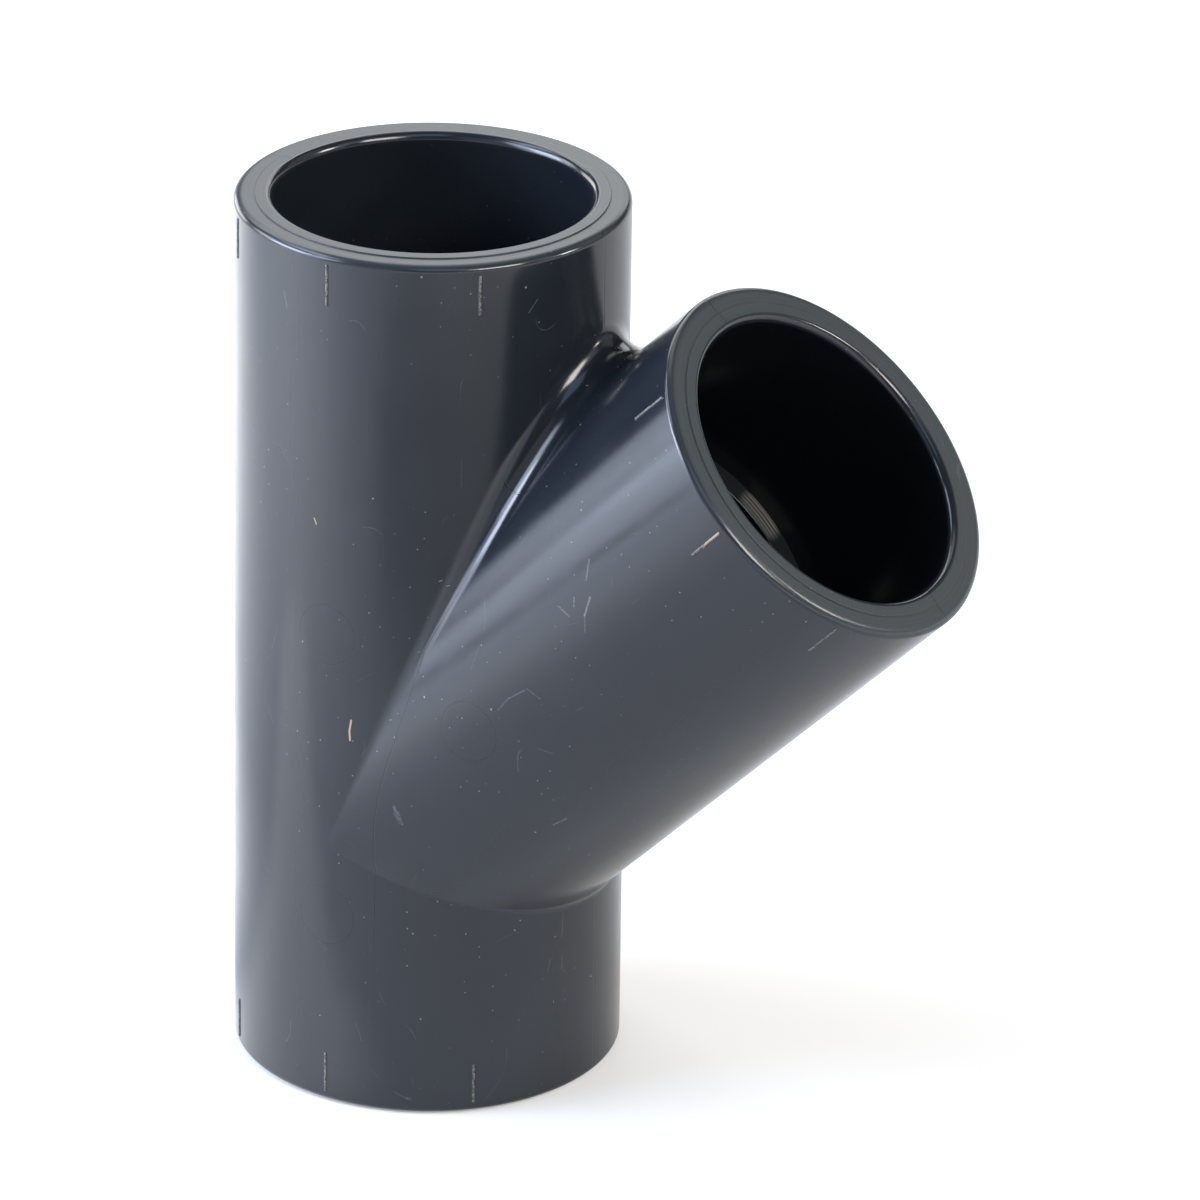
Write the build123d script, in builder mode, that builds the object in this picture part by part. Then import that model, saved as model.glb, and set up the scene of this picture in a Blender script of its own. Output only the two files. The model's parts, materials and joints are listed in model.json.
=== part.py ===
"""Lateral wye fitting: a one-piece moulded pressure fitting with three plain pipe sockets.

The run stands upright on its lower mouth. The branch leans away from it at 45 degrees, towards +X.
All sizes are in millimetres. The origin is the centre of the lower mouth, and +Z is the run's axis.
"""

import os
from math import cos, radians, sin, tan

from build123d import *

# The pipe that the sockets take, and the wall round it
pipe_diameter = 50.0
socket_clearance = 0.1
socket_wall = 6.2

# The straight stretch of barrel between the corner of a seam and each mouth
lower_straight = 32.65
upper_straight = 25.3
branch_straight = 25.9
branch_angle = 45.0

# Inside: a pipe stops on a shoulder at the foot of its socket, where the waterway begins
socket_depth = 34.4
waterway_diameter = 42.6
lead_in_radius = 1.1

# Mouth faces: a narrow raised ring surrounds each socket, and the outer corner is rounded
ring_width = 2.9
ring_height = 0.2
rim_radius = 1.1

# Roundings at the mouths are turned as short flats, and a cutting profile reaches past the face it cuts
rounding_flats = 4
cut_margin = 1.0

# Seams: the two equal barrels blend into each other, tightly under the branch and wider in the crotch
crotch_blend_radius = 4.3
heel_blend_radius = 2.2

# Alignment ribs: fine ridges on both sides of the mould's parting plane let pipes be turned to a known angle
first_rib_angles = (45.0, 225.0)
ribs_per_side = 3
rib_spread = 90.0
rib_width = 0.6
rib_height = 0.2
rib_length = 6.9
rib_setback = 1.8

# Worked out from the sizes above
socket_radius = pipe_diameter / 2 + socket_clearance
body_radius = socket_radius + socket_wall
ring_radius = socket_radius + ring_width
waterway_radius = waterway_diameter / 2

# Legs, from the crossing of the two axes: the heel and crotch corners lie where the barrels' sides meet
half_angle = radians(branch_angle / 2)
heel_reach = body_radius * tan(half_angle)
crotch_reach = body_radius / tan(half_angle)
lower_leg = heel_reach + lower_straight
upper_leg = crotch_reach + upper_straight
branch_leg = crotch_reach + branch_straight
run_length = lower_leg + upper_leg

# Each mouth's plane faces outwards, and its x axis lies in the plane of the two pipe axes
branch_start = Plane.XY.offset(lower_leg).rotated((0, branch_angle, 0))
lower_mouth = Plane(origin=(0, 0, 0), x_dir=(1, 0, 0), z_dir=(0, 0, -1))
upper_mouth = Plane.XY.offset(run_length)
branch_mouth = branch_start.offset(branch_leg)
mouths = [lower_mouth, upper_mouth, branch_mouth]
barrel_align = (Align.CENTER, Align.CENTER, Align.MIN)


def section(mouth):
    """The half plane through a mouth's axis: x runs across the axis, and y out of the mouth."""
    return Plane(origin=mouth.origin, x_dir=mouth.x_dir, z_dir=-mouth.y_dir)


def quarter_round(centre_x, centre_y, radius, start_angle):
    """The corners of a quarter circle of short flats, anticlockwise from the start angle."""
    turns = [radians(start_angle + 90 * step / rounding_flats) for step in range(rounding_flats + 1)]
    return [(centre_x + radius * cos(turn), centre_y + radius * sin(turn)) for turn in turns]


with BuildPart() as wye_body:
    # Run: the upright barrel, as far as the outer part of each mouth face
    with Locations(Plane.XY.offset(ring_height)):
        Cylinder(body_radius, run_length - 2 * ring_height, align=barrel_align)

    # Branch: an equal barrel from the crossing of the axes
    with BuildSketch(branch_start):
        Circle(body_radius)
    extrude(amount=branch_leg - ring_height)

    # Seam: two equal barrels meet in flat ellipses, the crotch above and the heel below
    seams = wye_body.edges().filter_by(GeomType.ELLIPSE).group_by(Axis.Z)
    fillet(seams[-1], radius=crotch_blend_radius)
    seams = wye_body.edges().filter_by(GeomType.ELLIPSE).group_by(Axis.Z)
    fillet(seams[0], radius=heel_blend_radius)

    # Rims: the outer corner of each mouth is turned to a rounding
    for mouth in mouths:
        with BuildSketch(section(mouth)):
            rim_corner = quarter_round(body_radius - rim_radius, -ring_height - rim_radius, rim_radius, 0)
            outside = body_radius + cut_margin
            Polygon(*rim_corner, (rim_corner[-1][0], cut_margin), (outside, cut_margin),
                    (outside, rim_corner[0][1]), align=None)
        revolve(axis=Axis(mouth.origin, mouth.z_dir), mode=Mode.SUBTRACT)

    # Raised rings: the contact face round each socket
    for mouth in mouths:
        with BuildSketch(mouth):
            Circle(ring_radius)
        extrude(amount=-socket_depth)

    # Sockets: the core of each mouth leaves a rounded lead-in, a plain bore and the pipe stop
    for mouth in mouths:
        with BuildSketch(section(mouth)):
            lead_in = quarter_round(socket_radius + lead_in_radius, -lead_in_radius, lead_in_radius, 90)
            Polygon(*lead_in, (socket_radius, -socket_depth), (0, -socket_depth), (0, cut_margin),
                    (lead_in[0][0], cut_margin), align=None)
        revolve(axis=Axis(mouth.origin, mouth.z_dir), mode=Mode.SUBTRACT)

    # Waterways: the smaller passages that leave the pipe stops as shoulders
    with BuildSketch(lower_mouth.offset(-socket_depth)):
        Circle(waterway_radius)
    extrude(amount=-(run_length - 2 * socket_depth), mode=Mode.SUBTRACT)
    with BuildSketch(branch_start):
        Circle(waterway_radius)
    extrude(amount=branch_leg - socket_depth, mode=Mode.SUBTRACT)

    # Alignment ribs: roof-shaped ridges along each barrel, rooted in its wall
    for mouth in mouths:
        with BuildSketch(mouth.offset(-rib_setback)):
            for first_angle in first_rib_angles:
                with PolarLocations(body_radius, ribs_per_side, first_angle, rib_spread, endpoint=True):
                    Polygon((rib_height, 0), (-rib_height, rib_width), (-rib_height, -rib_width), align=None)
        extrude(amount=-rib_length)

wye_body.part.label = "wye_body"

os.makedirs("parts", exist_ok=True)
export_step(wye_body.part, "parts/wye_body.step")

print("body diameter", round(2 * body_radius, 2), "run length", round(run_length, 2))
print("legs", round(lower_leg, 3), round(upper_leg, 3), round(branch_leg, 3))
print("volume", round(wye_body.part.volume), "valid", wye_body.part.is_valid)
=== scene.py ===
# %% [markdown]
# # A lateral wye pipe fitting, as a studio picture
#
# The fitting is one piece of moulded plastic: an upright run, and an equal branch that leaves it
# at 45 degrees. The frame holds it as a CAD body with its true sizes. This lesson draws the same
# surface again as one fine, closed mesh, so that its gloss stays smooth, and then gives it its
# finish, a floor, lamps and a camera.

# %% Load the frame
import json
from math import cos, pi, radians, sin

import bmesh
import bpy
import numpy as np
from mathutils import Matrix, Vector


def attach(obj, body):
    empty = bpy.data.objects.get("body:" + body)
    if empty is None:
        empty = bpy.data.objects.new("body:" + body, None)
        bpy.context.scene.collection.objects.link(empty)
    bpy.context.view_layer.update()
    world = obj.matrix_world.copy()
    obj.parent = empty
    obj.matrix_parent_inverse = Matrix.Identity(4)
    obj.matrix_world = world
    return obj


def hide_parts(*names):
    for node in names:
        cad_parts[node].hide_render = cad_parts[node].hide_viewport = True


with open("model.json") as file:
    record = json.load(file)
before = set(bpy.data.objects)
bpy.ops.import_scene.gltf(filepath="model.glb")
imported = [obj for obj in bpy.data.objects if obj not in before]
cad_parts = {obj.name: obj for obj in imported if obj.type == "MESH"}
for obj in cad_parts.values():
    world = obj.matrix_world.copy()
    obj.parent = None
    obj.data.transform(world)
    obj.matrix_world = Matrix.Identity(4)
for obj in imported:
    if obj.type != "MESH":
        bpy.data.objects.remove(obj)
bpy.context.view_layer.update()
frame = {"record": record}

# %% [markdown]
# The mounts in the record say where each mouth is, which way it faces and how wide its socket is.
# The other sizes are those of the CAD body, in millimetres here because that is how such a fitting
# is drawn. Everything is turned to metres once, at the moment a mesh is made.

# %% Sizes of the fitting
MM = 0.001
mounts = {mount["name"]: mount for mount in frame["record"]["mounts"]}
socket_radius = mounts["upper_socket"]["dims"]["r_mm"]
branch_lean = radians(45)

socket_wall = 6.2
socket_depth = 34.4
waterway_radius = 21.3
lead_in = 1.1
rim_round = 1.1
ring_width = 2.9
ring_height = 0.2
lower_straight = 32.65
upper_straight = 25.3
branch_straight = 25.9
crotch_blend = 4.3
heel_blend = 2.2

body_radius = socket_radius + socket_wall
ring_radius = socket_radius + ring_width
lower_leg = body_radius * np.tan(branch_lean / 2) + lower_straight
upper_leg = body_radius / np.tan(branch_lean / 2) + upper_straight
branch_leg = body_radius / np.tan(branch_lean / 2) + branch_straight
run_length = lower_leg + upper_leg
print("body radius", body_radius, "run", round(run_length, 3), "branch leg", round(branch_leg, 3))

# %% [markdown]
# A point on a barrel is named by three numbers: the angle round the axis, the distance from the
# axis and the distance along it. For the run the axis points up, and angle 0 faces the side that
# the branch leans to. For the branch the axis points out of its mouth, and angle 0 is its
# underside. One function for each turns those numbers into places.

# %% Places on the two barrels
crossing = np.array([0.0, 0.0, lower_leg])
branch_axis = np.array([np.sin(branch_lean), 0.0, np.cos(branch_lean)])
branch_under = np.array([np.cos(branch_lean), 0.0, -np.sin(branch_lean)])
across = np.array([0.0, 1.0, 0.0])
up = np.array([0.0, 0.0, 1.0])
ahead = np.array([1.0, 0.0, 0.0])


def on_run(angle, radius, height):
    """Crossing + radius * (cos angle * ahead + sin angle * across) + height * up."""
    spread = np.cos(angle)[..., None] * ahead + np.sin(angle)[..., None] * across
    return crossing + np.asarray(radius)[..., None] * spread + np.asarray(height)[..., None] * up


def on_branch(angle, radius, reach):
    """Crossing + radius * (cos angle * underside + sin angle * across) + reach * branch axis."""
    spread = np.cos(angle)[..., None] * branch_under + np.sin(angle)[..., None] * across
    return crossing + np.asarray(radius)[..., None] * spread + np.asarray(reach)[..., None] * branch_axis


# %% [markdown]
# Fine ribs stand on each barrel near its mouth, on both sides of the plane in which the mould
# parts. They are only 0.6 mm wide, so the columns of the mesh crowd together there and stay about
# two degrees apart in between. The same columns run through every sheet, so that the sheets meet
# point for point.

# %% Columns round a barrel
rib_width = 0.6
rib_height = 0.2
rib_setback = 1.8
rib_length = 6.9
rib_half_angle = rib_width / 2 / body_radius
rib_pitch = pi / 4

within_rib = rib_half_angle * np.array([-1.25, -1.0, -0.75, -0.5, -0.25, 0.0, 0.25, 0.5, 0.75, 1.0, 1.25])
between_ribs = np.linspace(within_rib[-1], rib_pitch + within_rib[0], 22)[1:-1]
one_pitch = np.concatenate([within_rib, between_ribs])
half_turn = np.concatenate([one_pitch + k * rib_pitch for k in range(-2, 2)])
half_turn = half_turn[half_turn >= -pi / 2 - 1e-9]
half_turn = np.concatenate([half_turn, within_rib[within_rib < 1e-9] + pi / 2])
front = (half_turn - half_turn[::-1]) / 2
back = front + pi
print("columns in half a turn", len(front))

# %% [markdown]
# Rows are set in the same way: close together where a rib starts and ends, and evenly spaced from
# there to the seam. Where a straight stretch runs into a rounding, a guard row lies 0.06 mm beside
# the border. Without it the smooth shading would bend the flat side's reflections too.

# %% Rows along a barrel
guard = 0.06
rim_end = ring_height + rim_round
rib_rows = np.concatenate([
    [rim_end, rim_end + guard, rib_setback - 0.15, rib_setback, rib_setback + 0.12, rib_setback + 0.25],
    np.linspace(rib_setback + 0.25, rib_setback + rib_length - 0.25, 5)[1:],
    [rib_setback + rib_length - 0.12, rib_setback + rib_length, rib_setback + rib_length + 0.15],
])


def leg_rows(reach, seam_reach, steps):
    """Distances from the crossing: the rib rows, then even steps, the last one ending in a guard row."""
    near_mouth = reach - rib_rows
    last = near_mouth[-1]
    stop = seam_reach[:, None] + guard
    inner = last + (stop - last) * np.linspace(0, 1, steps)[1:]
    return np.concatenate([np.repeat(near_mouth[None], len(seam_reach), 0), inner, seam_reach[:, None]], axis=1)


def bore_rows(reach, seam_reach, steps):
    """Even steps from the inner end of a socket to the seam, as distances from the crossing."""
    return reach + (seam_reach[:, None] - reach) * np.linspace(0, 1, steps + 1)


def rib_crest(angle, from_mouth):
    """1 - x squared across a rib, ramped to nothing at its ends, and no rib in the parting plane."""
    offset = (angle + rib_pitch / 2) % rib_pitch - rib_pitch / 2
    crown = np.clip(1 - (offset / rib_half_angle) ** 2, 0, 1)
    start = np.clip((from_mouth - rib_setback) / 0.25, 0, 1)
    end = np.clip((rib_setback + rib_length - from_mouth) / 0.25, 0, 1)
    off_plane = np.abs(np.sin(angle)) > 0.3
    return crown * np.sqrt(start * end) * off_plane


# %% [markdown]
# A sheet is a grid of points with two more things for its finish: a flat map in millimetres, which
# the dust and the turning marks follow, and three masks. The first is 1 on faces that were turned,
# the second is 1 on the crest of a rib, and the third is 1 inside the fitting, less in the upper
# mouth; it also paints shade into the colour there.

# %% Sheets of barrel
def barrel_sheet(place, angle, rows, side, reach, radius, map_shift, ribbed):
    """Points place(angle, radius + rib, side * rows), mapped to (angle * radius, side * rows) in mm."""
    columns = np.repeat(angle[:, None], rows.shape[1], 1)
    crest = rib_crest(columns, reach - rows) if ribbed else np.zeros(rows.shape)
    points = place(columns, radius + rib_height * crest, side * rows)
    flat = np.stack([columns * radius + map_shift, side * rows + map_shift], -1)
    masks = np.stack([0 * crest, crest, np.full(crest.shape, 0.0 if ribbed else 1.0)], -1)
    return points, flat, masks


# %% [markdown]
# Where two equal barrels cross, their seam is a pair of flat ellipses, and the mould rounds it off.
# Think of a ball that rolls along the seam and touches both barrels. Its centre is one ball radius
# outside each barrel, so it also runs on a flat ellipse, and the rounding is the arc of the ball
# between its two touching points.

# %% The rounding of a seam
def seam_sheet(angle, side, blend, steps, map_shift):
    """Arcs of a ball of radius blend that touches run and branch.

    The centre lies on the run's side at radius body + blend and at height side * k * that radius *
    cos(angle), k being the tangent of half the lean at the heel and its inverse at the crotch. The
    arc turns evenly from the run's touching direction to the branch's.
    """
    k = np.tan(branch_lean / 2) if side < 0 else 1 / np.tan(branch_lean / 2)
    touch = k * (body_radius + blend) * np.cos(angle)
    branch_angle = angle if side < 0 else pi - angle
    centre = on_run(angle, np.full(angle.shape, body_radius + blend), side * touch)
    start = (on_run(angle, np.full(angle.shape, body_radius), side * touch) - centre) / blend
    end = (on_branch(branch_angle, np.full(angle.shape, body_radius), touch) - centre) / blend
    turn = np.arccos(np.clip((start * end).sum(1), -1, 1))[:, None]
    share = np.linspace(0, 1, steps + 1)[None]
    narrow = turn < 1e-3
    safe = np.where(narrow, 1, np.sin(turn))
    from_start = np.where(narrow, 1 - share, np.sin((1 - share) * turn) / safe)
    from_end = np.where(narrow, share, np.sin(share * turn) / safe)
    arc = from_start[..., None] * start[:, None] + from_end[..., None] * end[:, None]
    points = centre[:, None] + blend * arc
    columns = np.repeat(angle[:, None], steps + 1, 1)
    flat = np.stack([columns * body_radius, side * (touch[:, None] - blend * turn * share)], -1) + map_shift
    return (points, flat, np.zeros(points.shape)), touch


# %% [markdown]
# A mouth is a turned shape, so it is one profile carried round the axis. From outside to inside
# the profile has the rounded rim, the flat face, the step up to the raised ring, the rounded
# lead-in, the socket's wall, the pipe stop and the edge of the waterway.

# %% The profile of a mouth
stop_round = 0.15
step_round = 0.08
rim_width = 1.4
lead_length = 1.6


def quarter(centre_r, centre_d, radius, first, steps):
    """Points centre + radius * (cos a, sin a), with a going a quarter turn from first."""
    a = radians(first) + np.linspace(0, pi / 2, steps + 1)
    return np.stack([centre_r + radius * np.cos(a), centre_d + radius * np.sin(a)], 1)


def mouth_profile():
    """Rows of distance from the axis, distance out of the mouth plane, and the turned mask.

    The rim and the lead-in are quarters of ellipses, the first wider and the second longer than round.
    """
    rim = quarter(0, 0, 1, 0, 14) * [rim_width, rim_round] + [body_radius - rim_width, -rim_end]
    step = quarter(ring_radius - step_round, -step_round, step_round, 0, 3)
    lead = quarter(0, 0, 1, 90, 14) * [lead_in, lead_length] + [socket_radius + lead_in, -lead_length]
    wall = -np.concatenate([[lead_length + guard], np.linspace(lead_length, socket_depth, 8)[1:]])
    stop = quarter(waterway_radius + stop_round, -socket_depth - stop_round, stop_round, 90, 4)
    face = [[rim[-1, 0] - guard, -ring_height, 1], [rim[-1, 0] - 0.3, -ring_height, 1],
            [ring_radius + guard, -ring_height, 1], [ring_radius, -ring_height, 1]]
    ring = [[ring_radius - step_round - guard, 0, 1], [lead[0, 0] + guard, 0, 1]]
    shoulder = [[socket_radius - guard, -socket_depth, 1], [stop[0, 0] + guard, -socket_depth, 1]]
    plain = [np.c_[part, np.zeros(len(part))] for part in (rim, step, lead, stop)]
    plain[0][:, 2] = np.linspace(0, 1, len(rim)) ** 0.9
    plain[1][:, 2] = 1
    barrel = np.c_[np.full(len(wall), socket_radius), wall, np.zeros(len(wall))]
    return np.concatenate([plain[0], face, plain[1], ring, plain[2], barrel, shoulder, plain[3]])


profile = mouth_profile()
walked = np.concatenate([[0], np.cumsum(np.hypot(*np.diff(profile[:, :2], axis=0).T))])
bore_end = socket_depth + stop_round
inside_from = int(np.argmax(profile[:, 1] == -lead_length - guard)) - 4
print("profile points", len(profile), "length", round(walked[-1], 1))

# %% [markdown]
# The same profile serves all three mouths. Its columns are those of the barrel that it ends, and
# the flat map runs along the profile, so a turning mark is simply a line of one value of the map.

# %% Mouth sheets
full_turn = np.concatenate([front, back[1:]])


def mouth_sheet(place, reach, side, map_shift, shade):
    """Profile points (r, d) at every angle, placed at radius r and distance side * (reach + d).

    The shade is the inside mask: deep bores are duller, and shade is painted into them as a darker colour.
    """
    columns, index = np.meshgrid(full_turn, np.arange(len(profile)), indexing="ij")
    points = place(columns, profile[index, 0], side * (reach + profile[index, 1]))
    flat = np.stack([columns * body_radius + map_shift, walked[index] - 400], -1)
    inside = shade * (walked[index] > walked[inside_from])
    masks = np.stack([profile[index, 2], 0 * inside, inside], -1)
    return points, flat, masks


# %% [markdown]
# The front half of the run meets the branch in two seams, the heel below and the crotch above. Its
# back half has no seam, and its columns go straight from mouth to mouth. The waterways inside are
# made in the same way with a smaller radius, and their seam stays sharp as the cores leave it.

# %% All sheets of the skin
steps = 22
heel, heel_touch = seam_sheet(front, -1, heel_blend, 10, 0)
crotch, crotch_touch = seam_sheet(front, 1, crotch_blend, 22, 0)
level = 0 * front
sheets = [heel, crotch]
for place, angle, reach, side, touch, shift in (
        (on_run, front, lower_leg, -1, heel_touch, 0), (on_run, front, upper_leg, 1, crotch_touch, 0),
        (on_branch, front, branch_leg, 1, heel_touch, 300), (on_branch, pi - front, branch_leg, 1, crotch_touch, 300),
        (on_run, back, lower_leg, -1, level, 0), (on_run, back, upper_leg, 1, level, 0)):
    sheets.append(barrel_sheet(place, angle, leg_rows(reach, touch, steps), side, reach, body_radius, shift, True))

heel_corner = waterway_radius * np.tan(branch_lean / 2) * np.cos(front)
crotch_corner = waterway_radius / np.tan(branch_lean / 2) * np.cos(front)
for place, angle, reach, side, touch, shift in (
        (on_run, front, lower_leg, -1, heel_corner, 600), (on_run, front, upper_leg, 1, crotch_corner, 600),
        (on_branch, front, branch_leg, 1, heel_corner, 900), (on_branch, pi - front, branch_leg, 1, crotch_corner, 900),
        (on_run, back, lower_leg, -1, level, 600), (on_run, back, upper_leg, 1, level, 600)):
    rows = bore_rows(reach - bore_end, touch, 8)
    sheets.append(barrel_sheet(place, angle, rows, side, reach, waterway_radius, shift, False))

# The last number is how much painted shade the inside of each mouth gets: the upper mouth's bore gets less, as light
# reaches into it.
sheets.append(mouth_sheet(on_run, lower_leg, -1, 0, 1.0))
sheets.append(mouth_sheet(on_run, upper_leg, 1, 250, 0.4))
sheets.append(mouth_sheet(on_branch, branch_leg, 1, 500, 1.0))
print("sheets", len(sheets), "points", sum(points[..., 0].size for points, flat, masks in sheets))

# %% [markdown]
# The moulding has a second fine witness line, where an insert of the mould ends. It comes down the
# rounding of the crotch, crosses the branch and runs down the front of the run. A line that thin
# can't be mesh. Instead each point of the mesh keeps its distance from the line, signed by the
# side it is on, and the finish draws a hair line where that distance passes through zero.

# %% Distance from the insert line
insert_line = np.array([
    [24.9, -21.6, 100.9], [21.0, -24.6, 92.6], [17.8, -27.2, 85.7], [16.1, -27.9, 82.1], [14.5, -29.6, 74.3],
    [13.8, -30.1, 71.7], [12.4, -30.7, 66.6], [10.8, -31.1, 61.3], [9.6, -31.3, 55.9], [8.9, -31.2, 51.3],
    [8.6, -30.8, 46.7], [8.4, -30.2, 37.6], [8.4, -30.1, 27.0], [8.4, -30.1, 2.0]])


def signed_distance(points, path):
    """Least distance to the path's segments, positive on the side of cross(segment, outwards)."""
    mirrored = points * [1, 1, 1]
    mirrored[:, 1] = -np.abs(mirrored[:, 1])
    start, run = path[:-1], np.diff(path, axis=0)
    offset = mirrored[:, None] - start
    share = np.clip((offset * run).sum(2) / (run ** 2).sum(1), 0, 1)
    gap = offset - share[..., None] * run
    length = np.linalg.norm(gap, axis=2)
    nearest = length.argmin(1)
    pick = np.arange(len(points)), nearest
    sideways = np.cross(run, [0, -1, 0])
    sign = np.sign((gap[pick] * sideways[nearest]).sum(1))
    return np.clip(sign * length[pick], -9, 9)


# %% [markdown]
# Now the sheets become one skin. Each cell of a grid is a face with four corners. Merging the
# points that coincide closes the sheets, and recalculating the normals of the closed skin turns
# every face outwards.

# %% Sheets to one closed mesh
def grid_faces(columns, rows, first):
    """Four corners for each cell of a grid whose points are stored column by column."""
    corner = first + np.arange(columns - 1)[:, None] * rows + np.arange(rows - 1)[None]
    return np.stack([corner, corner + rows, corner + rows + 1, corner + 1], -1).reshape(-1, 4)


def closed_mesh(name, sheets):
    """One mesh from all sheets, with the map as UV, the masks and the line distance as attributes."""
    starts = np.cumsum([0] + [points[..., 0].size for points, flat, masks in sheets])
    faces = np.concatenate([grid_faces(*points.shape[:2], first) for (points, flat, masks), first
                            in zip(sheets, starts)])
    points, flat, masks = (np.concatenate([sheet[k].reshape(-1, n) for sheet in sheets])
                           for k, n in ((0, 3), (1, 2), (2, 3)))
    mesh = bpy.data.meshes.new(name)
    mesh.from_pydata(points * MM, [], faces.tolist())
    mesh.uv_layers.new(name="flat_map").data.foreach_set("uv", flat[faces.ravel()].ravel())
    mesh.attributes.new("masks", "FLOAT_VECTOR", "POINT").data.foreach_set("vector", masks.ravel())
    mesh.attributes.new("insert_line", "FLOAT", "POINT").data.foreach_set(
        "value", signed_distance(points, insert_line))
    work = bmesh.new()
    work.from_mesh(mesh)
    bmesh.ops.remove_doubles(work, verts=work.verts, dist=2e-6)
    bmesh.ops.dissolve_degenerate(work, edges=work.edges, dist=1e-6)
    bmesh.ops.recalc_face_normals(work, faces=work.faces)
    open_edges = sum(1 for edge in work.edges if not edge.is_manifold)
    print(name, "volume cm3", round(work.calc_volume(signed=True) * 1e6, 2), "open edges", open_edges)
    work.to_mesh(mesh)
    work.free()
    return mesh


skin = closed_mesh("wye_fitting", sheets)

# %% [markdown]
# The skin is shaded smooth, but corners sharper than 32 degrees stay crisp: the feet of the ribs,
# the step of the raised ring and the seams inside.

# %% The fitting stands for the CAD body
skin.shade_smooth()
skin.set_sharp_from_angle(angle=radians(32))
fitting = bpy.data.objects.new("wye_fitting", skin)
bpy.context.scene.collection.objects.link(fitting)
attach(fitting, "root")
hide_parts("wye_body")
print("triangles", sum(len(face.vertices) - 2 for face in skin.polygons))

# %% [markdown]
# The finish is one material, built up step by step. These small helpers add a node and return its
# output, so that the next cells can read like a recipe. A plain number goes straight into the
# node's socket, and anything else is linked.

# %% Helpers for the finish
pvc = bpy.data.materials.new("slate_grey_pvc")
pvc.use_nodes = True
tree = pvc.node_tree


def feed(socket, value):
    """Links an output to a socket, or writes a plain number or vector into it."""
    if isinstance(value, bpy.types.NodeSocket):
        tree.links.new(value, socket)
    else:
        socket.default_value = value


def sums(operation, *values):
    """One step of arithmetic on numbers."""
    node = tree.nodes.new("ShaderNodeMath")
    node.operation = operation
    for socket, value in zip(node.inputs, values):
        feed(socket, value)
    return node.outputs[0]


def vectors(operation, *values, output="Vector"):
    """One step of arithmetic on vectors."""
    node = tree.nodes.new("ShaderNodeVectorMath")
    node.operation = operation
    for socket, value in zip([s for s in node.inputs if s.type == "VECTOR"], values):
        feed(socket, value)
    return node.outputs[output]


def spread(value, low, high, out_low=0.0, out_high=1.0):
    """Out low below low, out high above high, and a smooth step in between."""
    node = tree.nodes.new("ShaderNodeMapRange")
    node.interpolation_type = "SMOOTHSTEP"
    for name, number in (("From Min", low), ("From Max", high), ("To Min", out_low), ("To Max", out_high)):
        node.inputs[name].default_value = number
    feed(node.inputs["Value"], value)
    return node.outputs["Result"]


def noise(vector, scale, detail=2.0, rough=0.5, kind="3D"):
    """Smooth noise about one half."""
    node = tree.nodes.new("ShaderNodeTexNoise")
    node.noise_dimensions = kind
    feed(node.inputs["W" if kind == "1D" else "Vector"], vector)
    node.inputs["Scale"].default_value = scale
    node.inputs["Detail"].default_value = detail
    node.inputs["Roughness"].default_value = rough
    return node.outputs["Fac"] if "Fac" in node.outputs else node.outputs[0]


def blended(share, first, second):
    """Colour first where share is 0 and second where it is 1."""
    node = tree.nodes.new("ShaderNodeMix")
    node.data_type = "RGBA"
    feed(node.inputs["Factor"], share)
    feed(node.inputs[6], first)
    feed(node.inputs[7], second)
    return node.outputs[2]


# %% [markdown]
# Everything on the finish is placed in millimetres, because that is how big a scratch or a speck
# of dust is. The object's own coordinates are in metres, so they are scaled once. The masks and
# the flat map come from the mesh.

# %% Coordinates of the finish
where = tree.nodes.new("ShaderNodeTexCoord")
place_mm = tree.nodes.new("ShaderNodeMapping")
place_mm.vector_type = "POINT"
place_mm.inputs["Scale"].default_value = (1000, 1000, 1000)
tree.links.new(where.outputs["Object"], place_mm.inputs["Vector"])
spot = place_mm.outputs["Vector"]
apart = tree.nodes.new("ShaderNodeSeparateXYZ")
tree.links.new(spot, apart.inputs[0])
spot_x, spot_y, spot_z = apart.outputs

map_node = tree.nodes.new("ShaderNodeUVMap")
map_node.uv_map = "flat_map"
flat_map = map_node.outputs["UV"]
map_apart = tree.nodes.new("ShaderNodeSeparateXYZ")
tree.links.new(flat_map, map_apart.inputs[0])
along_profile = map_apart.outputs[1]

mask_node = tree.nodes.new("ShaderNodeAttribute")
mask_node.attribute_name = "masks"
mask_apart = tree.nodes.new("ShaderNodeSeparateXYZ")
tree.links.new(mask_node.outputs["Vector"], mask_apart.inputs[0])
turned, crest, inside = mask_apart.outputs
outside = sums("SUBTRACT", 1.0, inside)

line_node = tree.nodes.new("ShaderNodeAttribute")
line_node.attribute_name = "insert_line"
insert_gap = sums("ABSOLUTE", line_node.outputs["Fac"])

# %% [markdown]
# A mould leaves witness lines. The main one lies in the plane where its halves part, which is
# simply where y is zero. The insert's line was stored on the mesh, and it fades towards the lower
# mouth. Round marks of 10 mm come from blanked plugs in the mould's wall, and a smaller one sits in
# the crotch. Each is a thin ring at a fixed distance from its centre.

# %% Witness lines of the mould
def ring_mark(centre, radius, strength):
    """A thin ring: 1 where the distance from the centre is the radius, on both sides of the mould."""
    gap = sums("ABSOLUTE", sums("SUBTRACT", vectors("DISTANCE", both_sides, centre, output="Value"), radius))
    return sums("MULTIPLY", spread(gap, 0.04, 0.15, 1.0, 0.0), strength)


joined = tree.nodes.new("ShaderNodeCombineXYZ")
feed(joined.inputs[0], spot_x)
feed(joined.inputs[1], sums("MULTIPLY", sums("ABSOLUTE", spot_y), -1.0))
feed(joined.inputs[2], spot_z)
both_sides = joined.outputs[0]

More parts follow.
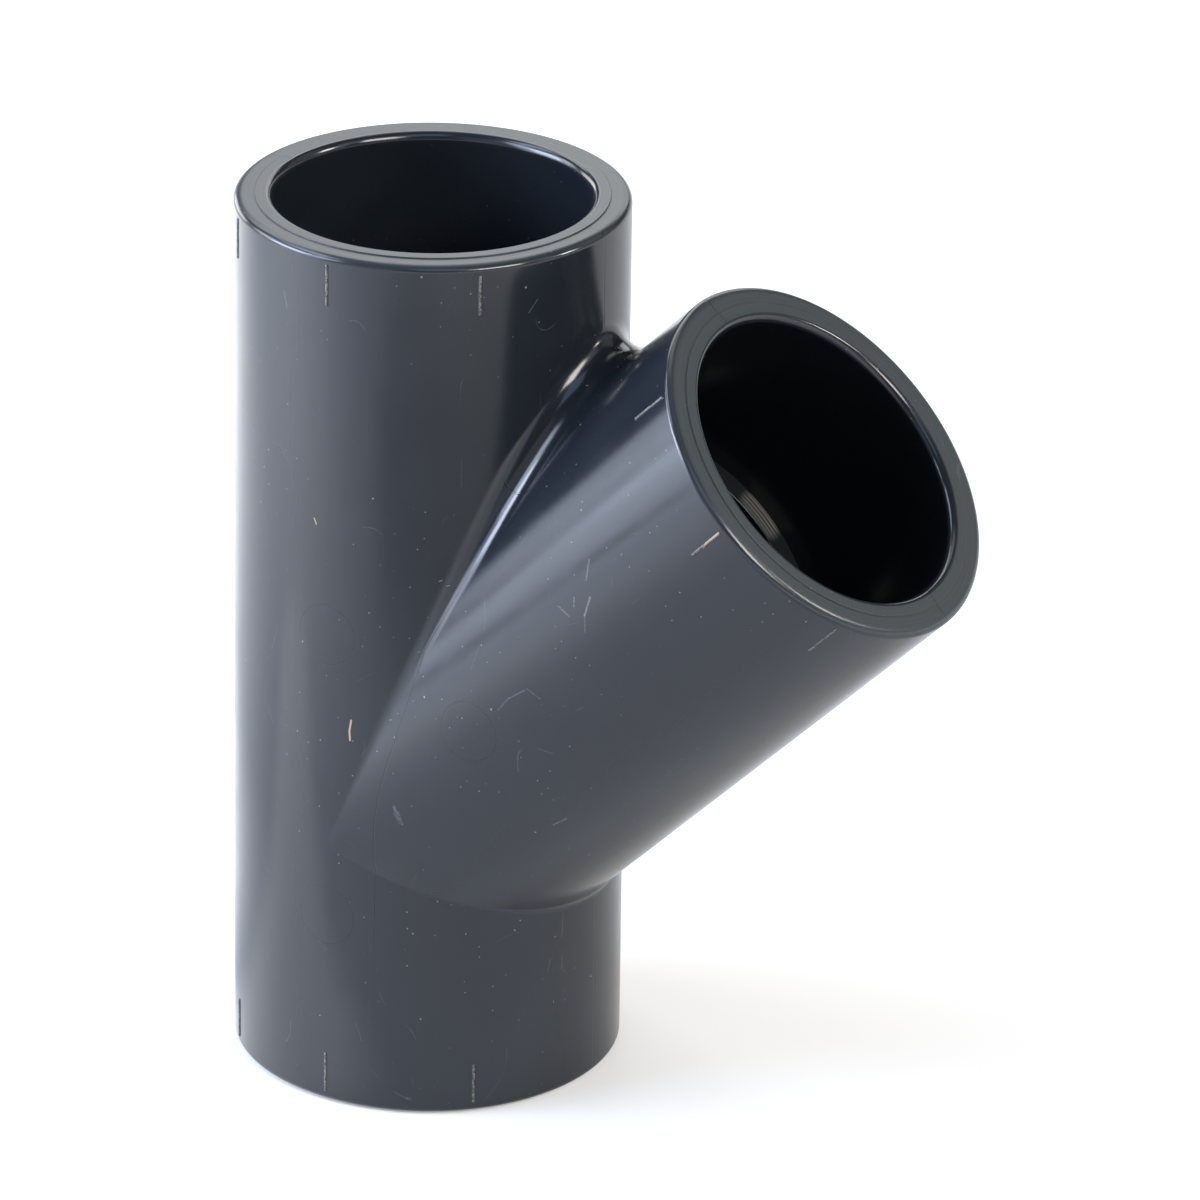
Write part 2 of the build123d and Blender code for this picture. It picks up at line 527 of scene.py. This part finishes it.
parting = spread(sums("ABSOLUTE", spot_y), 0.05, 0.17, 1.0, 0.0)
insert = sums("MULTIPLY", spread(insert_gap, 0.04, 0.14, 1.0, 0.0), spread(spot_z, 12.0, 40.0, 0.2, 1.0))
rings = ring_mark((0.0, -body_radius, 82.1), 5.0, 0.55)
for centre, radius, strength in (((0.0, -body_radius, 33.4), 5.0, 0.55), ((26.1, -body_radius, 71.7), 5.0, 0.75)):
    rings = sums("MAXIMUM", rings, ring_mark(centre, radius, strength))
crotch_ring = sums("MULTIPLY", ring_mark((27.7, -19.6, 111.4), 3.0, 0.9), spread(spot_z, 109.4, 110.8, 1.0, 0.0))
rings = sums("MAXIMUM", rings, crotch_ring)
lines = sums("MULTIPLY", sums("MAXIMUM", sums("MAXIMUM", parting, insert), rings), outside)

# %% [markdown]
# Dust and nicks: fine pale specks lie all over such a fitting from handling and packing. A Voronoi
# pattern on the flat map gives one point to each cell. Only cells with a high random value keep
# their speck, and that value also sets its size. A slow noise gathers the specks in patches.

# %% Specks
patchy = sums("MULTIPLY_ADD", noise(flat_map, 0.035, 1.0, 0.5, "2D"), 0.5, -0.25)


def specks(cell, keep, size, seed):
    """Round specks of up to the size in mm, one to a cell of that many mm, kept above a random value."""
    node = tree.nodes.new("ShaderNodeTexVoronoi")
    node.voronoi_dimensions = "2D"
    feed(node.inputs["Vector"], vectors("ADD", flat_map, (seed, seed * 2, 0.0)))
    node.inputs["Scale"].default_value = 1 / cell
    chance = tree.nodes.new("ShaderNodeSeparateColor")
    tree.links.new(node.outputs["Color"], chance.inputs[0])
    gap = sums("MULTIPLY", node.outputs["Distance"], cell)
    grown = spread(sums("ADD", chance.outputs[0], patchy), keep, 1.08, 0.0, size)
    near = sums("DIVIDE", gap, sums("MAXIMUM", grown, 0.001))
    shown = sums("MULTIPLY", spread(near, 0.55, 1.0, 1.0, 0.0), spread(grown, 0.02, 0.05))
    return shown, chance.outputs[1]


fine_specks, fine_tint = specks(2.3, 0.80, 0.16, 3.0)
large_specks, large_tint = specks(8.0, 0.70, 0.22, 17.0)
all_specks = sums("MULTIPLY", sums("MAXIMUM", sums("MULTIPLY", fine_specks, 0.42), sums("MULTIPLY", large_specks, 0.5)), outside)
tan_specks = sums("GREATER_THAN", sums("MAXIMUM", fine_tint, 0.0), 0.72)

# %% [markdown]
# Hair scratches: where a slow noise passes one half there is a long curved hair line, and a second
# noise lets only short pieces of it show. The larger scratches of the real fitting are placed one
# by one, as strokes between two points on its surface.

# %% Strokes
def stroke(start, end, width, point):
    """1 within a width of the segment from start to end, fading at its edge.

    The offset from the middle, less its part along the segment held to half the length, is the gap.
    """
    start, end = Vector(start), Vector(end)
    along, half = (end - start).normalized(), (end - start).length / 2
    offset = vectors("SUBTRACT", point, (start + end) / 2)
    held = tree.nodes.new("ShaderNodeClamp")
    feed(held.inputs["Value"], vectors("DOT_PRODUCT", offset, along, output="Value"))
    feed(held.inputs["Min"], -half)
    feed(held.inputs["Max"], half)
    gap = vectors("LENGTH", vectors("MULTIPLY_ADD", held.outputs[0], -along, offset), output="Value")
    return spread(gap, 0.45 * width, width, 1.0, 0.0)


def strokes(table):
    """The largest share of several strokes, each times its strength."""
    total = 0.0
    for start, end, width, strength in table:
        total = sums("MAXIMUM", total, sums("MULTIPLY", stroke(start, end, width, spot), strength))
    return total


pale_strokes = strokes([
    ((46.7, -29.9, 105.5), (46.6, -30.5, 102.3), 0.20, 0.32),
    ((44.6, -30.7, 98.9), (44.7, -30.9, 97.5), 0.16, 0.42),
    ((47.6, -30.9, 99.8), (46.8, -31.1, 96.6), 0.24, 0.56),
    ((46.8, -31.1, 96.6), (47.0, -31.3, 93.9), 0.18, 0.24),
    ((41.9, -30.6, 96.7), (43.9, -31.0, 95.7), 0.17, 0.35),
    ((31.5, -31.3, 76.9), (33.4, -31.3, 79.3), 0.16, 0.21),
    ((33.4, -31.3, 79.3), (36.4, -31.3, 81.5), 0.16, 0.24),
    ((36.7, -31.3, 81.8), (39.0, -31.2, 80.6), 0.15, 0.24),
    ((27.0, -15.7, 137.3), (27.8, -14.4, 139.2), 0.15, 0.28),
    ((-8.6, -30.1, 138.2), (-7.9, -30.3, 135.4), 0.15, 0.24),
    ((37.8, -24.6, 55.9), (39.9, -24.2, 57.4), 0.25, 0.35),
    ((12.6, -31.2, 55.4), (13.2, -31.0, 53.6), 0.38, 0.24),
    ((13.3, -31.0, 54.6), (13.9, -30.9, 52.6), 0.32, 0.22),
    ((12.9, -31.1, 54.2), (13.5, -31.0, 53.0), 0.60, 0.14),
])
fibre = strokes([
    ((67.6, -31.5, 112.6), (68.2, -31.5, 113.9), 0.24, 0.5),
    ((68.2, -31.5, 113.9), (70.3, -31.5, 116.0), 0.30, 0.55),
    ((-2.3, -31.2, 101.5), (-1.9, -31.2, 100.6), 0.17, 0.8),
    ((4.45, -31.0, 68.3), (4.15, -31.0, 66.4), 0.20, 1.0),
    ((4.15, -31.0, 66.4), (4.25, -31.0, 64.8), 0.20, 1.0),
])

# %% [markdown]
# Where the surface is scuffed it turns pale and dull. A broken-up noise makes the strokes look
# rubbed rather than drawn.

# %% Scratches and scuffs together
grain = noise(spot, 2.6, 3.0, 0.6)
hair_path = sums("ABSOLUTE", sums("SUBTRACT", noise(vectors("ADD", spot, (40.0, 7.0, 3.0)), 0.07, 0.0), 0.5))
hair_piece = spread(noise(vectors("ADD", spot, (9.0, 80.0, 0.0)), 0.19, 0.0), 0.62, 0.70)
hairs = sums("MULTIPLY", sums("MULTIPLY", spread(hair_path, 0.0006, 0.0024, 1.0, 0.0), hair_piece), 0.16)
rubbed = sums("MULTIPLY", sums("MAXIMUM", pale_strokes, hairs), spread(grain, 0.34, 0.58, 0.35, 1.0))
scuffs = sums("MULTIPLY", rubbed, spread(inside, 0.0, 0.3, 1.0, 0.0))

# %% [markdown]
# Rigid PVC for pressure pipe is a dark slate grey with a cool tint. The pigment is even, so the
# body colour varies by only a few percent. The turned faces are paler, because turning leaves them
# rough, and the crests of the ribs are rubbed to a warm pale grey where parts knock together.
# The inside of the fitting is painted nearly black as painted shade. A pale patch on the branch's
# pipe stop, broken by the turning rings, is a painted highlight.

# %% Colour of the plastic
cloud = noise(spot, 0.05, 2.0, 0.55)
body_colour = blended(spread(cloud, 0.3, 0.7), (0.0150, 0.0186, 0.0250, 1), (0.0176, 0.0218, 0.0288, 1))
rings_of_turning = noise(along_profile, 4.5, 3.0, 0.7, "1D")
turned_colour = blended(spread(rings_of_turning, 0.3, 0.7), (0.036, 0.044, 0.049, 1), (0.054, 0.065, 0.071, 1))
colour = blended(turned, body_colour, turned_colour)
# Painted shade: the inside of the fitting, where the bores hold shade, is painted nearly black.
colour = blended(sums("MULTIPLY", inside, 0.8), colour, (0.0012, 0.0015, 0.0024, 1))
# Painted highlight: a pale patch on the branch's pipe stop, broken by its turning rings, where the turning lines would
# catch a lamp.
painted_stop_glint = sums("MULTIPLY", stroke((46.0, 23.2, 94.5), (48.0, 23.0, 92.4), 3.6, spot), sums("MULTIPLY", turned, inside))
painted_stop_glint = sums("MULTIPLY", painted_stop_glint, spread(noise(along_profile, 2.4, 2.0, 0.6, "1D"), 0.40, 0.62, 0.05, 0.8))
colour = blended(painted_stop_glint, colour, (0.24, 0.24, 0.22, 1))
rubbed_crest = sums("MULTIPLY", spread(crest, 0.35, 0.8), spread(grain, 0.42, 0.6, 0.15, 0.9))
colour = blended(rubbed_crest, colour, (0.24, 0.22, 0.19, 1))
colour = blended(sums("MULTIPLY", lines, 0.75), colour, (0.008, 0.009, 0.011, 1))
colour = blended(scuffs, colour, (0.26, 0.27, 0.28, 1))
dust_colour = blended(tan_specks, (0.42, 0.44, 0.46, 1), (0.36, 0.27, 0.17, 1))
colour = blended(all_specks, colour, dust_colour)
colour = blended(fibre, colour, (0.50, 0.37, 0.23, 1))

# %% [markdown]
# Height is given in millimetres too. The moulded skin has a slow waviness of a few thousandths and
# a very fine orange peel. Turned faces carry concentric grooves, coarser on the pipe stops, which
# a tool cuts deep inside the socket.

# %% Relief
waves = sums("MULTIPLY", noise(spot, 0.045, 1.0), 0.010)
peel = sums("MULTIPLY", noise(spot, 1.1, 0.0), 0.0007)
groove_depth = sums("MULTIPLY", turned, sums("MULTIPLY_ADD", inside, 0.010, 0.0022))
relief = sums("ADD", sums("ADD", waves, peel), sums("MULTIPLY", rings_of_turning, groove_depth))
relief = sums("ADD", relief, sums("MULTIPLY", lines, -0.012))
bump = tree.nodes.new("ShaderNodeBump")
bump.inputs["Strength"].default_value = 1.0
bump.inputs["Distance"].default_value = MM
feed(bump.inputs["Height"], relief)

# %% [markdown]
# The mould was polished, so the skin is glossy and shows soft, clear reflections. Smears, scuffs,
# dust and turned faces are duller. The index of refraction of PVC is 1.53.

# %% Gloss
smears = spread(noise(spot, 0.13, 2.0, 0.6), 0.35, 0.75, 0.14, 0.19)
gloss = sums("MAXIMUM", smears, sums("MULTIPLY", turned, 0.36))
gloss = sums("MAXIMUM", gloss, sums("MULTIPLY", inside, 0.26))
dull = sums("MAXIMUM", sums("MAXIMUM", scuffs, all_specks), sums("MAXIMUM", fibre, rubbed_crest))
gloss = sums("MAXIMUM", gloss, sums("MULTIPLY", dull, 0.7))
shader = tree.nodes["Principled BSDF"]
shader.inputs["IOR"].default_value = 1.53
feed(shader.inputs["Base Color"], colour)
feed(shader.inputs["Roughness"], gloss)
feed(shader.inputs["Normal"], bump.outputs["Normal"])
skin.materials.append(pvc)
print("nodes in the finish", len(tree.nodes))

# %% [markdown]
# The floor is plain white and keeps the fitting's soft shadow. The picture's ground should be clean
# white, so the floor's own shader adds a little white of its own, more so far away. Light Path
# lets only the camera and mirror rays see that part, so it lights nothing. Pools of white and one
# grey patch on the floor are seen by mirror rays alone: they are painted reflections in the fitting.

# %% Floor
def seen_directly():
    """1 for rays of the camera, of reflections and through glass, and 0 for those that carry light."""
    path = tree.nodes.new("ShaderNodeLightPath")
    mirrored = sums("MAXIMUM", path.outputs["Is Camera Ray"], path.outputs["Is Glossy Ray"])
    return sums("MAXIMUM", mirrored, path.outputs["Is Transmission Ray"])


floor_mesh = bpy.data.meshes.new("floor")
floor_mesh.from_pydata([(-12, -12, 0), (12, -12, 0), (12, 12, 0), (-12, 12, 0)], [], [(0, 1, 2, 3)])
floor = bpy.data.objects.new("floor", floor_mesh)
bpy.context.scene.collection.objects.link(floor)
paper = bpy.data.materials.new("white_floor")
paper.use_nodes = True
tree = paper.node_tree
tree.nodes.remove(tree.nodes["Principled BSDF"])
rays = tree.nodes.new("ShaderNodeLightPath").outputs
floor_place = tree.nodes.new("ShaderNodeTexCoord")
on_floor = floor_place.outputs["Object"]
# Painted reflection: a grey patch of floor, seen by mirror rays alone, darkens what the fitting mirrors there.
painted_grey_patch = stroke((0.11, -0.28, 0.0), (0.27, -0.13, 0.0), 0.14, on_floor)
white = tree.nodes.new("ShaderNodeBsdfDiffuse")
paper_and_grey_patch = blended(sums("MULTIPLY", painted_grey_patch, rays["Is Glossy Ray"]), (0.76, 0.76, 0.76, 1), (0.42, 0.42, 0.42, 1))
feed(white.inputs["Color"], paper_and_grey_patch)
own_white = tree.nodes.new("ShaderNodeEmission")
far = spread(vectors("LENGTH", on_floor, output="Value"), 0.22, 1.0)
# Painted reflections: pools of white on the floor, seen by mirror rays alone, brighten what the fitting mirrors there.
painted_pools = 0.0
for centre, reach, pool_white in (((-0.25, -0.22, 0.0), 0.28, 1.2), ((-0.28, 0.13, 0.0), 0.26, 1.05),
                                   ((-0.085, -0.01, 0.0), 0.052, 0.35), ((-0.09, 0.045, 0.0), 0.07, 0.45)):
    from_centre = vectors("DISTANCE", on_floor, centre, output="Value")
    painted_pools = sums("ADD", painted_pools, spread(from_centre, 0.01, reach, pool_white, 0.0))
for start, end, width, pool_white in (((-0.028, -0.043, 0.0), (-0.14, -0.12, 0.0), 0.045, 0.75),
                                       ((0.043, 0.004, 0.0), (0.055, 0.035, 0.0), 0.04, 0.10)):
    painted_pools = sums("ADD", painted_pools, sums("MULTIPLY", stroke(start, end, width, on_floor), pool_white))
white_seen = sums("ADD", sums("MULTIPLY", far, seen_directly()), sums("MULTIPLY", rays["Is Camera Ray"], 0.27))
white_seen = sums("ADD", white_seen, sums("MULTIPLY", painted_pools, rays["Is Glossy Ray"]))
feed(own_white.inputs["Strength"], white_seen)
both = tree.nodes.new("ShaderNodeAddShader")
feed(both.inputs[0], white.outputs[0])
feed(both.inputs[1], own_white.outputs[0])
feed(tree.nodes["Material Output"].inputs["Surface"], both.outputs[0])
floor_mesh.materials.append(paper)

# %% [markdown]
# Above the floor the studio is dark, as a studio is behind its lamps. That is what keeps the upper
# side of the branch and the bores dark. Only a low band at the horizon is white, so that a picture
# taken from low down still has a white ground.

# %% World
studio = bpy.data.worlds.new("studio")
bpy.context.scene.world = studio
studio.use_nodes = True
tree = studio.node_tree
sky_place = tree.nodes.new("ShaderNodeTexCoord")
sky_apart = tree.nodes.new("ShaderNodeSeparateXYZ")
tree.links.new(sky_place.outputs["Generated"], sky_apart.inputs[0])
band = spread(sky_apart.outputs[2], sin(radians(5)), sin(radians(9)), 1.0, 0.0)
light = sums("MULTIPLY_ADD", band, seen_directly(), 0.03)
feed(tree.nodes["Background"].inputs["Strength"], light)
tree.nodes["Background"].inputs["Color"].default_value = (1, 1, 1, 1)

# %% [markdown]
# A glossy dark object is lit by what it mirrors, so the lamps are large soft panels. The main one
# stands at the left and draws the long band on the branch. Weaker panels behind and at the right
# give the rims, the top face and the edges of the barrels their light. The first number of each
# lamp is how bright its surface is, white being 1.

# %% Lamps
def softbox(name, brightness, azimuth, elevation, width, height, tint=(1, 1, 1)):
    """A panel 0.9 m from the fitting, in the direction given in degrees, that faces the fitting.

    Its power is brightness * pi * area, which gives its surface that radiance.
    """
    a, e = radians(azimuth), radians(elevation)
    away = Vector((cos(a) * cos(e), sin(a) * cos(e), sin(e)))
    lamp = bpy.data.lights.new(name, "AREA")
    lamp.shape = "RECTANGLE"
    lamp.size = width
    lamp.size_y = height
    lamp.energy = brightness * pi * width * height
    lamp.color = tint
    panel = bpy.data.objects.new(name, lamp)
    panel.location = Vector((0.03, 0, 0.08)) + away * 0.9
    panel.rotation_euler = away.to_track_quat("Z", "Y").to_euler()
    panel.visible_camera = False
    bpy.context.scene.collection.objects.link(panel)
    return panel


cool = (0.84, 0.96, 1.2)
blue = (0.66, 0.92, 1.42)
warm = (1.05, 1.0, 0.93)
for spec in (("main_core", 12.0, -149, 21, .40, .30, cool), ("main_hot", 2.8, -142, 26, .20, .18, cool),
             ("main_spill", 2.0, -148, 22, .80, .60, cool), ("main_side", 5.2, -127, 30, .24, .40, cool),
             ("main_foot", 3.0, -140, 4.2, .45, .21, cool), ("main_top", 5.0, -161, 52, .50, .22, cool),
             ("left_fill", 4.2, -172, 22, .24, .30),
             ("back_low", 4.0, 160, 11, .40, .28, warm), ("back_mid", 2.2, 113, 25, .47, .26),
             ("back_high", 3.0, 138, 43, .60, .32), ("back_top", 1.3, 120, 65, .42, .32),
             ("right_key", 13.5, -20, 35, .40, .26, warm), ("right_spot", 26.0, 26, 27, .15, .14, warm),
             ("right_high", 0.8, 5, 43, .45, .30), ("right_mid", 1.0, 20, 26, .40, .26),
             ("right_far", 0.40, 55, 33, .45, .50),
             ("front_top", 1.1, -56, 52, .36, .40, blue), ("side_fill", 0.4, -97, 25, .47, .50)):
    softbox(*spec)

# %% [markdown]
# The camera stands where the photographer's did: about 30 degrees round from the front, 24 degrees
# above the floor, with a long lens and a slight roll. These numbers were fitted to the outline and
# the rims of the fitting.

# %% Camera
view_azimuth = radians(30.191)
view_elevation = radians(24.082)
view_roll = radians(0.851)
view_distance = 1.4798
view_target = np.array([0.031377, 0.0, 0.08376])
backward = np.array([sin(view_azimuth) * cos(view_elevation), -cos(view_azimuth) * cos(view_elevation),
                     sin(view_elevation)])
right = np.array([cos(view_azimuth), sin(view_azimuth), 0.0])
upward = np.cross(backward, right)
rolled_right = cos(view_roll) * right + sin(view_roll) * upward
rolled_up = cos(view_roll) * upward - sin(view_roll) * right
lens = bpy.data.cameras.new("camera")
lens.sensor_width = 36
lens.lens = 281.154
camera = bpy.data.objects.new("camera", lens)
turn = Matrix(np.stack([rolled_right, rolled_up, backward], 1).tolist()).to_4x4()
camera.matrix_world = Matrix.Translation((view_target + backward * view_distance).tolist()) @ turn
bpy.context.scene.collection.objects.link(camera)
bpy.context.scene.camera = camera
bpy.context.scene.view_settings.view_transform = "Standard"
